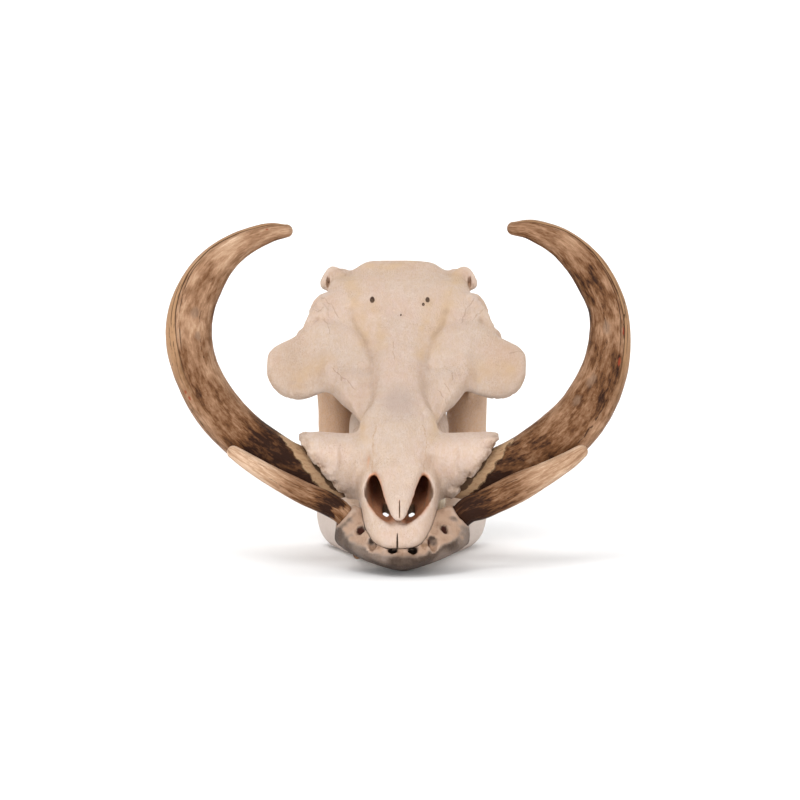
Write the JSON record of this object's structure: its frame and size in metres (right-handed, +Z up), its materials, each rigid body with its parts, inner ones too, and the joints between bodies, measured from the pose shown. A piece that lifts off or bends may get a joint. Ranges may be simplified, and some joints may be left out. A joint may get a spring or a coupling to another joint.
{
  "type": "warthog skull",
  "caption": "Dry warthog skull with its jaw, long curved upper tusks and shorter lower tusks, resting on the jaw.",
  "frame": {"origin": "bottom centre of the box round the whole skull, on the table it rests on", "axes": "+Z up from the table, +X to the animal's left, across the spread of the tusks, -Y towards the snout"},
  "size_m": [0.3788, 0.3349, 0.2856],
  "materials": {
    "cranium": "matt",
    "mandible": "matt",
    "upper_tusk_left": "satin",
    "upper_tusk_right": "satin",
    "lower_tusk_left": "satin",
    "lower_tusk_right": "satin",
    "upper_premolar_left": "satin",
    "upper_premolar_right": "satin",
    "upper_second_molar_left": "satin",
    "upper_second_molar_right": "satin",
    "upper_third_molar_left": "satin",
    "upper_third_molar_right": "satin",
    "lower_premolar_left": "satin",
    "lower_premolar_right": "satin",
    "lower_second_molar_left": "satin",
    "lower_second_molar_right": "satin",
    "lower_third_molar_left": "satin",
    "lower_third_molar_right": "satin"
  },
  "bodies": {
    "root": {"cranium": "cranium", "mandible": "mandible", "upper_tusk_left": "upper_tusk_left", "upper_tusk_right": "upper_tusk_right", "lower_tusk_left": "lower_tusk_left", "lower_tusk_right": "lower_tusk_right", "upper_premolar_left": "upper_premolar_left", "upper_premolar_right": "upper_premolar_right", "upper_second_molar_left": "upper_second_molar_left", "upper_second_molar_right": "upper_second_molar_right", "upper_third_molar_left": "upper_third_molar_left", "upper_third_molar_right": "upper_third_molar_right", "lower_premolar_left": "lower_premolar_left", "lower_premolar_right": "lower_premolar_right", "lower_second_molar_left": "lower_second_molar_left", "lower_second_molar_right": "lower_second_molar_right", "lower_third_molar_left": "lower_third_molar_left", "lower_third_molar_right": "lower_third_molar_right"}
  },
  "joints": []
}
